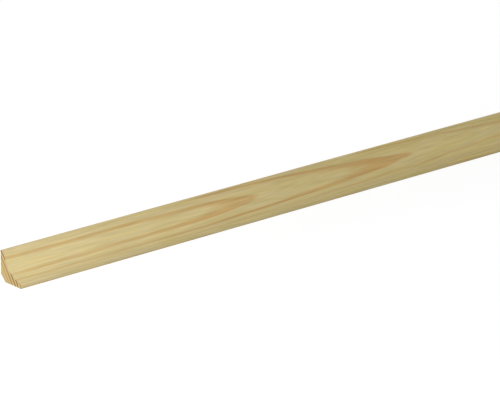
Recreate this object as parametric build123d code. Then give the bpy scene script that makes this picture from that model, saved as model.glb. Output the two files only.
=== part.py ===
"""Cove moulding: one length of planed pine with a hollow front face and square lips.

It lies on its lower back face, as a cut length lies on a bench. +X runs along the
length, +Y points out of the upright back face, and the hollow looks to -Y and up.
The origin is at the middle of the length, on the floor, half way through the depth.
"""

import os

from build123d import *

# Driving dimensions, in millimetres
LENGTH = 900.0  # a length that small pine mouldings are sold in
HEIGHT = 20.0  # upright back face, from the floor to the top lip
DEPTH = 20.0  # lower back face, from the upright back to the front lip
LIP = 3.0  # thickness of the square lip that ends each leg
COVE_DEPTH = 4.4  # deepest point of the hollow below a straightedge across the lips
BACK_CHAMFER = 4.5  # each leg of the bevel that clears an uneven corner behind
ARRIS = 0.35  # radius that planing and a touch of sanding leave on the lips' corners


def moulding_section():
    """The outline that the cutter leaves, drawn flat: x is the part's Y, y its Z."""
    front = -DEPTH / 2
    back = DEPTH / 2
    front_foot = (front, 0)
    front_lip = (front, LIP)
    top_lip = (back - LIP, HEIGHT)
    top_back = (back, HEIGHT)

    hollow = SagittaArc(top_lip, front_lip, COVE_DEPTH)
    legs = Polyline(
        front_lip,
        front_foot,
        (back - BACK_CHAMFER, 0),
        (back, BACK_CHAMFER),
        top_back,
        top_lip,
    )
    section = make_face(hollow + legs)
    lip_corners = (front_foot, front_lip, top_lip, top_back)
    arrises = [section.vertices().sort_by_distance(corner)[0] for corner in lip_corners]
    return fillet(arrises, ARRIS)


def cove_moulding():
    """The section run along the whole length, with both ends sawn square."""
    moulding = extrude(Plane.YZ * moulding_section(), LENGTH / 2, both=True)
    moulding.label = "cove_moulding"
    return moulding


os.makedirs("parts", exist_ok=True)
export_step(cove_moulding(), "parts/cove_moulding.step")
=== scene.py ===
# %% [markdown]
# # A cove moulding in planed pine
# A cove is a strip of trim with a hollow face. It hides the gap in an inside corner, and
# small ones are run from clear pine and sold by the length. This one lies on its lower back
# face, with the hollow towards us. The construction is loaded first, as a fixed frame in
# metres: it gives the true size, and everything below is made to fit it.

# %% Load the frame
import math

import bmesh
import bpy
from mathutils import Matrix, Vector


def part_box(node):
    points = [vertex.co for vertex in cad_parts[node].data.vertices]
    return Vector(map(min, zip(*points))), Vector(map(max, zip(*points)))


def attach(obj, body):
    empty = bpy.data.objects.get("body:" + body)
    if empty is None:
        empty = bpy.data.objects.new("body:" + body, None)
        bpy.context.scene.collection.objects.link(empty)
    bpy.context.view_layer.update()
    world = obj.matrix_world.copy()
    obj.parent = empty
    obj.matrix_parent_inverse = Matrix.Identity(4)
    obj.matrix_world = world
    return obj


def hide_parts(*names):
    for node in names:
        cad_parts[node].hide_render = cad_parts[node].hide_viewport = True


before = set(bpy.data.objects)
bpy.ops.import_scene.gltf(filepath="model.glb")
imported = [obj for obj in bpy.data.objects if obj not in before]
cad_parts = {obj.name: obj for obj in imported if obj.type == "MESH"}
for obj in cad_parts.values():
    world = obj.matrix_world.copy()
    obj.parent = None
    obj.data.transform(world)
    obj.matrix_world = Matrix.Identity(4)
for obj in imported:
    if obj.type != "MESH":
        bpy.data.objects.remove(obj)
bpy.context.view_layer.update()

MM = 0.001
low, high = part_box("cove_moulding")
print("cove moulding, mm:", [round(side / MM, 2) for side in high - low])

# %% [markdown]
# ## The section
# A moulding is the same shape all along, so the work is in its section. On the real one a
# shaped cutter leaves two square lips, a hollow between them that is one arc, and a bevel
# behind that clears an uneven corner. The outside sizes come from the frame, and the four
# sizes below are the cutter's own. A hollow is measured with a straightedge laid across the
# lips, so the arc is worked out from its two ends and its depth under that straightedge.

# %% Sizes of the section
LIP = 3.0 * MM
COVE_DEPTH = 4.4 * MM
BACK_BEVEL = 4.5 * MM
ARRIS = 0.35 * MM

near_end, front, floor_level = low
far_end, back, top = high
front_lip = Vector((near_end, front, floor_level + LIP))
top_lip = Vector((near_end, back - LIP, top))
straightedge = top_lip - front_lip
outwards = Vector((0, -straightedge.z, straightedge.y)).normalized()
half_chord = straightedge.length / 2
cove_radius = (half_chord**2 + COVE_DEPTH**2) / (2 * COVE_DEPTH)
cove_centre = (front_lip + top_lip) / 2 + outwards * (cove_radius - COVE_DEPTH)
cove_sweep = 2 * math.asin(half_chord / cove_radius)
print("hollow: radius", round(cove_radius / MM, 2), "mm, sweep", round(math.degrees(cove_sweep), 1))

# %% [markdown]
# ## Drawing it with operators
# The section could be a list of points, but a list hides where the arc comes from. Here one
# vertex at the front lip is spun about the hollow's centre, which draws the arc. Its last
# vertex is then extruded from corner to corner round the top lip and the back, and the loop
# is closed and filled. A vertex bevel on the four lip corners eases them, as the plane and a
# touch of sandpaper do: a dead sharp corner would catch no light.

# %% Draw the outline
COVE_STEPS = 36
ARRIS_STEPS = 4


def draw_to(outline, vertex, y, z):
    """Extrudes a vertex of the outline to a new corner, which draws a straight edge."""
    corner = bmesh.ops.extrude_vert_indiv(outline, verts=[vertex])["verts"][0]
    bmesh.ops.translate(outline, verts=[corner], vec=Vector((near_end, y, z)) - corner.co)
    return corner


timber = bmesh.new()
first = bmesh.ops.create_vert(timber, co=front_lip)["vert"][0]
spun = bmesh.ops.spin(
    timber, geom=[first], cent=cove_centre, axis=(1, 0, 0), angle=cove_sweep,
    steps=COVE_STEPS, use_merge=False,
)
hollow_end = [item for item in spun["geom_last"] if isinstance(item, bmesh.types.BMVert)][0]
top_back = draw_to(timber, hollow_end, back, top)
bevel_top = draw_to(timber, top_back, back, floor_level + BACK_BEVEL)
bevel_foot = draw_to(timber, bevel_top, back - BACK_BEVEL, floor_level)
front_foot = draw_to(timber, bevel_foot, front, floor_level)
bmesh.ops.contextual_create(timber, geom=[front_foot, first])
bmesh.ops.contextual_create(timber, geom=timber.edges[:])
bmesh.ops.bevel(
    timber, geom=[first, hollow_end, top_back, front_foot], offset=ARRIS, affect="VERTICES",
    segments=ARRIS_STEPS, profile=0.5, material=-1,
)
section_area = timber.faces[:][0].calc_area() / MM**2
print("outline:", len(timber.verts), "corners, area", round(section_area, 1), "mm2")

# %% [markdown]
# ## Running it along the length
# At the mill the whole length passes the cutter. In Blender the filled outline is extruded to
# the far end, which is the same thing. The long edges are then divided, so that no face is a
# needle, and the normals are worked out afresh, because a spin may leave them inwards.

# %% Extrude and divide the length
SLICE = 6.0 * MM

run = bmesh.ops.extrude_face_region(timber, geom=timber.faces[:])
far_verts = [item for item in run["geom"] if isinstance(item, bmesh.types.BMVert)]
bmesh.ops.translate(timber, verts=far_verts, vec=(far_end - near_end, 0, 0))
long_edges = [
    edge for edge in timber.edges if abs(edge.verts[0].co.x - edge.verts[1].co.x) > SLICE
]
slices = round((far_end - near_end) / SLICE)
bmesh.ops.subdivide_edges(timber, edges=long_edges, cuts=slices - 1)
bmesh.ops.recalc_face_normals(timber, faces=timber.faces[:])
print("run:", slices, "slices,", len(timber.faces), "faces")

# %% [markdown]
# ## Sawn ends
# The ends are crosscut with a saw, and its teeth leave a fine ripple on the end grain. Bump
# in the material could fake it, but it is real relief and cheap to cut: parallel planes divide
# each end face, and every other line is pushed in a little. Pushing in, never out, keeps the
# length true.

# %% Score the ends
SAW_PITCH = 0.8 * MM
SAW_DEPTH = 0.03 * MM
SAW_LEAN = math.radians(20)
END_ON = 0.9

saw_across = Vector((0, math.cos(SAW_LEAN), math.sin(SAW_LEAN)))


def end_face(x):
    """Every face, edge and vertex of the sawn face at one end."""
    faces = [
        face for face in timber.faces
        if abs(face.normal.x) > END_ON and abs(face.calc_center_median().x - x) < SAW_PITCH
    ]
    geom = set(faces)
    for face in faces:
        geom.update(face.edges, face.verts)
    return list(geom)


for end, inwards in ((near_end, 1), (far_end, -1)):
    reach = [vertex.co.dot(saw_across) for vertex in timber.verts]
    for line in range(1, int((max(reach) - min(reach)) / SAW_PITCH)):
        score = bmesh.ops.bisect_plane(
            timber, geom=end_face(end), plane_no=saw_across,
            plane_co=saw_across * (min(reach) + line * SAW_PITCH),
        )
        scored = [item for item in score["geom_cut"] if isinstance(item, bmesh.types.BMVert)]
        if line % 2:
            bmesh.ops.translate(timber, verts=scored, vec=(inwards * SAW_DEPTH, 0, 0))
print("scored ends:", len(timber.faces), "faces")

# %% [markdown]
# ## The piece
# The real moulding is one piece of wood, so the mesh becomes one object. It stays at the
# origin, because its place is already in its mesh. It rides on the frame's body and stands
# for the plain solid. Curved faces are shaded smooth, and an edge that turns sharply stays
# crisp: marking edges by their angle does both at once.

# %% Make the object
SMOOTH_UP_TO = math.radians(25)

mesh = bpy.data.meshes.new("pine_cove")
timber.to_mesh(mesh)
timber.free()
mesh.polygons.foreach_set("use_smooth", [True] * len(mesh.polygons))
mesh.set_sharp_from_angle(angle=SMOOTH_UP_TO)
moulding = bpy.data.objects.new("pine_cove", mesh)
bpy.context.scene.collection.objects.link(moulding)
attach(moulding, "root")
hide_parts("cove_moulding")
print("piece:", moulding.name, len(mesh.polygons), "faces")

# %% [markdown]
# ## Writing shader maths as sums
# Wood is drawn by arithmetic on the place of a point inside the timber. Math nodes wired by
# hand would hide the sums, so a small class wraps a socket and turns + - * / into those
# nodes. Any other node comes from its one method, which takes the node's type, its settings
# and its sockets in that order.

# %% A wire that can be added and multiplied


class Wire:
    """A node's output inside a node tree, for use in ordinary sums."""

    def __init__(self, tree, socket=None):
        self.tree = tree
        self.socket = socket

    def node(self, kind, settings=None, sockets=None, output=0):
        """Adds a node, sets it up, fills or links its sockets, and gives one output."""
        made = self.tree.nodes.new(kind)
        for name, value in (settings or {}).items():
            setattr(made, name, value)
        for name, value in (sockets or {}).items():
            if isinstance(value, Wire):
                self.tree.links.new(value.socket, made.inputs[name])
            else:
                made.inputs[name].default_value = value
        return Wire(self.tree, made.outputs[output] if made.outputs else None)

    def maths(self, operation, other=0.0):
        """A Math node with this wire first."""
        return self.node("ShaderNodeMath", {"operation": operation}, {0: self, 1: other})

    def __add__(self, other):
        return self.maths("ADD", other)

    def __sub__(self, other):
        return self.maths("SUBTRACT", other)

    def __rsub__(self, other):
        return self.node("ShaderNodeMath", {"operation": "SUBTRACT"}, {0: other, 1: self})

    def __mul__(self, other):
        return self.maths("MULTIPLY", other)

    def __truediv__(self, other):
        return self.maths("DIVIDE", other)

    def __pow__(self, other):
        return self.maths("POWER", other)

    __radd__ = __add__
    __rmul__ = __mul__


print("a wire turns + - * / and ** into Math nodes")

# %% [markdown]
# ## Four helpers for a grown material
# Nearly all of a wood's look is made of four things: a soft step from one state to the next,
# cloudy noise that is stretched along the grain, a blend of two colours, and a colour made a
# little lighter or darker. Naming them keeps the recipe below readable. Noise has no size of
# its own, so each use says how large its clouds are in mm: along the trunk, out from the pith
# and around it. A long cloud makes a streak, and a short one makes a speck.

# %% Steps and noise


def step_up(value, start, end):
    """0 below start, 1 above end, with a smooth rise between."""
    return value.node(
        "ShaderNodeMapRange", {"interpolation_type": "SMOOTHSTEP"},
        {"Value": value, "From Min": start, "From Max": end},
    )


def noise(place, clouds, start=0.0, detail=2.0):
    """Noise from 0 to 1 in clouds of the given sizes; another start gives other clouds."""
    along, out, around = (axis / size for axis, size in zip(place, clouds))
    point = along.node("ShaderNodeCombineXYZ", None, {0: along + start, 1: out, 2: around})
    return along.node("ShaderNodeTexNoise", None, {"Vector": point, "Scale": 1.0, "Detail": detail})


print("step_up and noise vary a value over the wood")

# %% Blends and shades


def blend(factor, first, second):
    """first where factor is 0, second where it is 1."""
    return factor.node("ShaderNodeMix", {"data_type": "RGBA"}, {0: factor, 6: first, 7: second}, 2)


def shade(colour, factor):
    """A colour made darker by a factor under 1, or lighter by one over 1."""
    return colour.node("ShaderNodeVectorMath", {"operation": "SCALE"}, {0: colour, "Scale": factor})


print("blend and shade vary a colour")

# %% An empty material


def new_material(name):
    """An empty material, and a wire to start its nodes from."""
    material = bpy.data.materials.new(name)
    material.use_nodes = True
    material.node_tree.nodes.clear()
    return material, Wire(material.node_tree)


print("materials start empty")

# %% [markdown]
# ## Growth rings
# A tree grows in shells round its pith. This strip was sawn well away from the pith, which
# lies behind and below its back corner, so the rings cross the end as nearly straight lines.
# From some way along, the shells dip slowly towards the back, and where the hollow cuts
# through them they show as long tongues. A stretched wave texture could draw stripes, but it
# would give no tongues, and nothing would meet at the corners. Measuring each point's distance
# from the pith gives the tongues and the end grain at once. A slow wander and a fine ripple
# keep the rings from looking drawn with a compass. Many starts of the wander's noise were
# tried, and the one that is kept makes the tongues lie much as they do on the real piece.

# %% Rings from the place of a point, in mm
PITH_DISTANCE = 120.0
PITH_BELOW = math.radians(34.2)
RING_WIDTH = 2.6
RING_OFFSET = -1.15
DIP = 0.0204  # for each mm of length
DIP_FROM = 146.0
DIP_EASE = 20.0
WANDER = 1.2
WANDER_CLOUDS = (100, 5, 10)
WANDER_START = 167
RIPPLE = 0.25
RIPPLE_CLOUDS = (14, 2, 3)

pith_y = PITH_DISTANCE * math.cos(PITH_BELOW)
pith_z = (floor_level + top) / 2 / MM - PITH_DISTANCE * math.sin(PITH_BELOW)


def growth(point):
    """Where a point lies in the tree: along the trunk, out from the pith, and around it."""
    x, y, z = (point.node("ShaderNodeSeparateXYZ", None, {0: point}, axis) / MM for axis in range(3))
    along = x - near_end / MM
    past = along - DIP_FROM
    dip = (past + (past * past + DIP_EASE**2) ** 0.5) * (DIP / 2)
    beside = y - pith_y
    above = z - pith_z
    radius = (beside * beside + above * above) ** 0.5 - PITH_DISTANCE
    around = y * math.sin(PITH_BELOW) + z * math.cos(PITH_BELOW)
    straight = (along, radius, around)
    wander = noise(straight, WANDER_CLOUDS, WANDER_START) - 0.5
    ripple = noise(straight, RIPPLE_CLOUDS) - 0.5
    out = radius + dip + wander * WANDER + ripple * RIPPLE - RING_OFFSET
    return along, out, around


print("pith, mm behind the middle and above the floor:", round(pith_y, 1), round(pith_z, 1))

# %% [markdown]
# ## The year in a ring
# Each ring starts pale and open in spring and ends dense and resinous in summer. The colour
# deepens outwards, then stops where the next spring begins. No two years are alike: one
# leaves a wide band, and another a deep one. A table could list the years, but a sine of the
# ring's number is as uneven and never runs out. The bands are patchy along the grain, and on
# the planed faces of this piece they are paler near the end that is nearest. Sawn straight
# across, the same bands look wider and much darker. The sines' numbers, and where the noise of
# the patches starts, are picked to suit this piece too.

# %% Bands that differ from year to year, as shares of a ring
SUMMER_START = 0.64
SUMMER_START_SWING = 0.14
SUMMER_START_YEARS = (1.5, 1.6)
SUMMER_START_SAWN = 0.45
SUMMER_RISE = 0.5
SUMMER_ENDS = 0.92


def yearly(year, step, first):
    """A number from -1 to 1 for each ring: a sine that is read once a year."""
    return (year * step + first).maths("SINE")


def summer_band(season, start):
    """Rises from 0 at the start of summer, and stops where the next spring begins."""
    full = start + (1 - start) * SUMMER_RISE
    return step_up(season, start, full) * (1 - step_up(season, SUMMER_ENDS, 1.0))


print("summer bands, mm:", round((SUMMER_ENDS - SUMMER_START) * RING_WIDTH, 2), "of", RING_WIDTH)

# %% How deep the summer wood is
DEPTH = 0.62
DEPTH_SWING = 0.38
DEPTH_YEARS = (1.0, 2.25)
PATCH_LEVEL = 0.94
PATCH_SWING = 1.6
PATCH_CLOUDS = (80, RING_WIDTH, 5)
PATCH_START = 870
PALE = 0.58
PALE_UP_TO = 60
DEEP_FROM = 220


def summer_wood(place):
    """How much each point is summer wood, from 0 to about 1: sawn across, and planed."""
    along, out, _ = place
    rings = out / RING_WIDTH
    year = rings.maths("FLOOR")
    season = rings - year
    start = SUMMER_START - SUMMER_START_SWING * yearly(year, *SUMMER_START_YEARS)
    depth = DEPTH + DEPTH_SWING * yearly(year, *DEPTH_YEARS)
    patchy = PATCH_LEVEL + PATCH_SWING * (noise(place, PATCH_CLOUDS, PATCH_START) - 0.5)
    deepens = PALE + (1 - PALE) * step_up(along, PALE_UP_TO, DEEP_FROM)
    sawn = summer_band(season, SUMMER_START_SAWN) * depth
    return sawn, summer_band(season, start) * depth * patchy * deepens


print("bands are paler up to", PALE_UP_TO, "mm and full from", DEEP_FROM, "mm")

# %% [markdown]
# ## Colour along the grain and across it
# On the long faces the summer bands are warm against straw-coloured spring wood, and the
# straw turns a little olive in patches and along the length. Streaks, fine fibres and short
# brown dashes of resin canals lie over them, all stretched along the trunk. On the sawn ends
# the same rings are cut across: there the summer wood is much darker, and pores speckle it.

# %% Planed faces
STRAW = (0.645, 0.533, 0.282, 1)
OLIVE_STRAW = (0.622, 0.508, 0.204, 1)
HONEY = (0.550, 0.345, 0.118, 1)
TONE_CLOUDS = (35, 3, 4)
TONE_EDGES = (0.35, 0.65)
STREAK = 0.42
STREAK_CLOUDS = (30, 0.9, 1.4)
FIBRE = 0.24
CANAL = 0.12
CANAL_CLOUDS = (7, 0.3, 0.3)
CANAL_EDGES = (0.70, 0.78)

length = (far_end - near_end) / MM


def long_grain(place, summer, fibre):
    """Colour of the planed faces."""
    patch = step_up(noise(place, TONE_CLOUDS), *TONE_EDGES)
    drift = step_up(place[0], 0.0, length / 2)
    straw = blend((patch + drift) / 2, STRAW, OLIVE_STRAW)
    streak = noise(place, STREAK_CLOUDS) - 0.5
    canal = step_up(noise(place, CANAL_CLOUDS), *CANAL_EDGES)
    colour = blend(summer, straw, HONEY)
    return shade(colour, 1 + STREAK * streak + FIBRE * (fibre - 0.5) - CANAL * canal)


print("the tone drifts over", round(length / 2), "mm")

# %% Sawn ends
END_STRAW = (0.668, 0.482, 0.218, 1)
END_BROWN = (0.205, 0.134, 0.038, 1)
PORE = 0.3
PORE_CLOUDS = (3, 0.15, 0.15)


def end_grain(place, band):
    """Colour of the sawn ends."""
    pores = noise(place, PORE_CLOUDS) - 0.5
    return shade(blend(band, END_STRAW, END_BROWN), 1 + PORE * pores)


print("pores are about", PORE_CLOUDS[1], "mm wide")

# %% [markdown]
# ## The planed surface
# Bare planed pine is dull, with a faint sheen on the dense summer bands, and sawn end grain
# is rougher still. The fibres and bands also stand up by hundredths of a millimetre. That is
# far too fine for the mesh, so it goes into a Bump node. A point belongs to an end when it is
# within a skin of it that is deeper than the saw marks.

# %% Make the pine
END_SKIN = 0.15
FIBRE_CLOUDS = (45, 0.35, 0.5)
FIBRE_DETAIL = 3.0
FIBRE_HEIGHT = 0.15 * MM
BUMP = 0.25
GLOSS = 0.3
ROUGH = 0.66
SUMMER_SHEEN = 0.10
FIBRE_ROUGH = 0.10
SAWN_ROUGH = 0.20


def planed_pine():
    material, start = new_material("planed_pine")
    place = growth(start.node("ShaderNodeTexCoord", output="Object"))
    band, summer = summer_wood(place)
    fibre = noise(place, FIBRE_CLOUDS, detail=FIBRE_DETAIL)
    from_end = place[0].maths("MINIMUM", length - place[0])
    sawn = 1 - step_up(from_end, END_SKIN / 2, END_SKIN)

    colour = blend(sawn, long_grain(place, summer, fibre), end_grain(place, band))
    rough = ROUGH - SUMMER_SHEEN * summer + FIBRE_ROUGH * (fibre - 0.5) + SAWN_ROUGH * sawn
    relief = (fibre + summer) / 2
    bump = start.node(
        "ShaderNodeBump", None, {"Strength": BUMP, "Distance": FIBRE_HEIGHT, "Height": relief},
    )
    surface = start.node(
        "ShaderNodeBsdfPrincipled", None,
        {"Base Color": colour, "Roughness": rough, "Specular IOR Level": GLOSS, "Normal": bump},
    )
    start.node("ShaderNodeOutputMaterial", None, {"Surface": surface})
    return material


print("planed pine is rough:", ROUGH)

# %% Dress the moulding
pine = planed_pine()
moulding.data.materials.append(pine)
print("finish:", pine.name, len(pine.node_tree.nodes), "nodes")

# %% [markdown]
# ## A white floor that keeps the shadow
# Trim is shown on white. Lighting a floor until it is white would bleach the wood as well, so
# the floor's own look is split. Rays from the camera, and rays that show the floor in gloss or
# glass, see a card that glows almost white. A faint matt coat on it makes up the rest where
# the light falls, and so keeps the shadow. All other light meets a grey card, so little of it
# comes back up under the lips.

# %% Which rays show the floor itself


def seen_directly(start):
    """1 for rays that show the background itself: straight, in gloss or through glass."""
    rays = ("Is Camera Ray", "Is Glossy Ray", "Is Transmission Ray")
    straight, gloss, glass = (start.node("ShaderNodeLightPath", output=ray) for ray in rays)
    return straight.maths("MAXIMUM", gloss).maths("MAXIMUM", glass)


print("camera, gloss and glass see the white side of the floor and sky")

# %% The floor's two cards
FLOOR_GLOW = 0.87
WHITE = (1, 1, 1, 1)
FAINT_MATT = (0.20, 0.20, 0.20, 1)
GREY_CARD = (0.30, 0.30, 0.30, 1)


def pale_floor():
    material, start = new_material("pale_floor")
    grey = start.node("ShaderNodeBsdfDiffuse", None, {"Color": GREY_CARD})
    glow = start.node("ShaderNodeEmission", None, {"Color": WHITE, "Strength": FLOOR_GLOW})
    matt = start.node("ShaderNodeBsdfDiffuse", None, {"Color": FAINT_MATT})
    white = start.node("ShaderNodeAddShader", None, {0: glow, 1: matt})
    card = start.node("ShaderNodeMixShader", None, {0: seen_directly(start), 1: grey, 2: white})
    start.node("ShaderNodeOutputMaterial", None, {"Surface": card})
    return material


print("the floor glows at", FLOOR_GLOW)

# %% Lay the floor
FLOOR_SIZE = 40.0
FLOOR_GAP = 0.05 * MM

ground = bmesh.new()
bmesh.ops.create_grid(ground, x_segments=1, y_segments=1, size=FLOOR_SIZE / 2)
floor_mesh = bpy.data.meshes.new("floor")
ground.to_mesh(floor_mesh)
ground.free()
floor_mesh.materials.append(pale_floor())
floor = bpy.data.objects.new("floor", floor_mesh)
floor.location.z = floor_level - FLOOR_GAP
bpy.context.scene.collection.objects.link(floor)
print("floor:", FLOOR_SIZE, "m wide")

# %% [markdown]
# ## Sky
# A dim, even sky fills every side with a little light, so that no face goes black. The camera
# sees plain white in its place, by the same test as on the floor.

# %% Sky
SKY = 0.30

scene = bpy.context.scene
world = bpy.data.worlds.new("studio_sky")
scene.world = world
world.use_nodes = True
world.node_tree.nodes.clear()
start = Wire(world.node_tree)
sky = start.node("ShaderNodeBackground", None, {"Color": WHITE, "Strength": SKY})
white = start.node("ShaderNodeBackground", None, {"Color": WHITE, "Strength": 1.0})
shown = start.node("ShaderNodeMixShader", None, {0: seen_directly(start), 1: sky, 2: white})
start.node("ShaderNodeOutputWorld", None, {"Surface": shown})
print("sky:", SKY)

# %% [markdown]
# ## Soft boxes
# A soft box hangs close to each sawn end, in front and above, so that the end is as bright as
# the hollow. A lamp's light fades with the square of its distance, so hanging it close is what
# makes the tone fall along so short a piece; the near box is the stronger one. A broad box
# further off in front opens up the hollow, and one low behind lights the back faces.

# %% A soft box


def soft_box(name, aim, offset, width, watts):
    """A round lamp that hangs at an offset from the point that it is aimed at."""
    lamp = bpy.data.lights.new(name, "AREA")
    lamp.shape = "DISK"
    lamp.size = width
    lamp.energy = watts
    box = bpy.data.objects.new(name, lamp)
    box.location = aim + offset
    box.rotation_euler = (-offset).to_track_quat("-Z", "Y").to_euler()
    scene.collection.objects.link(box)
    print(name, "hangs", round(offset.length, 2), "m away")


middle = (low + high) / 2
print("middle, mm:", [round(value / MM, 1) for value in middle])

# %% A box at each end
NEAR_FROM_END = Vector((-0.43, -0.27, 0.27))
NEAR_WIDTH = 0.35
NEAR_WATTS = 3.4
FAR_FROM_END = Vector((0.43, -0.27, 0.27))
FAR_WIDTH = 0.35
FAR_WATTS = 2.3

near_middle = Vector((near_end, middle.y, middle.z))
far_middle = Vector((far_end, middle.y, middle.z))
soft_box("near_box", near_middle, NEAR_FROM_END, NEAR_WIDTH, NEAR_WATTS)
soft_box("far_box", far_middle, FAR_FROM_END, FAR_WIDTH, FAR_WATTS)

# %% A box in front and one behind
FRONT_FROM_MIDDLE = Vector((0.0, -1.5, 0.55))
FRONT_WIDTH = 1.0
FRONT_WATTS = 4.5
BACK_FROM_MIDDLE = Vector((-0.3, 1.4, 0.3))
BACK_WIDTH = 0.5
BACK_WATTS = 12.0

soft_box("front_box", middle, FRONT_FROM_MIDDLE, FRONT_WIDTH, FRONT_WATTS)
soft_box("back_box", middle, BACK_FROM_MIDDLE, BACK_WIDTH, BACK_WATTS)

# %% [markdown]
# ## Camera
# The camera looks along the strip from near its sawn end, a little from above, through a
# long lens, so the far part leaves the frame on the right. It is placed from the point that
# it aims at, backwards along the line of sight, which keeps the angles plain to read.

# %% Camera
LENS = 257.9
VIEW_TURN = math.radians(41.19)
VIEW_DOWN = math.radians(18.70)
VIEW_DISTANCE = 2.3041
AIM_FROM_END = Vector((0.1961, 0.0031, 0.0001))

level = math.cos(VIEW_DOWN)
looking = Vector((math.sin(VIEW_TURN) * level, math.cos(VIEW_TURN) * level, -math.sin(VIEW_DOWN)))
camera_data = bpy.data.cameras.new("camera")
camera_data.lens = LENS
camera = bpy.data.objects.new("camera", camera_data)
camera.location = near_middle + AIM_FROM_END - looking * VIEW_DISTANCE
camera.rotation_euler = looking.to_track_quat("-Z", "Y").to_euler()
scene.collection.objects.link(camera)
scene.camera = camera
scene.view_settings.view_transform = "Standard"
print("camera at", [round(value, 3) for value in camera.location])
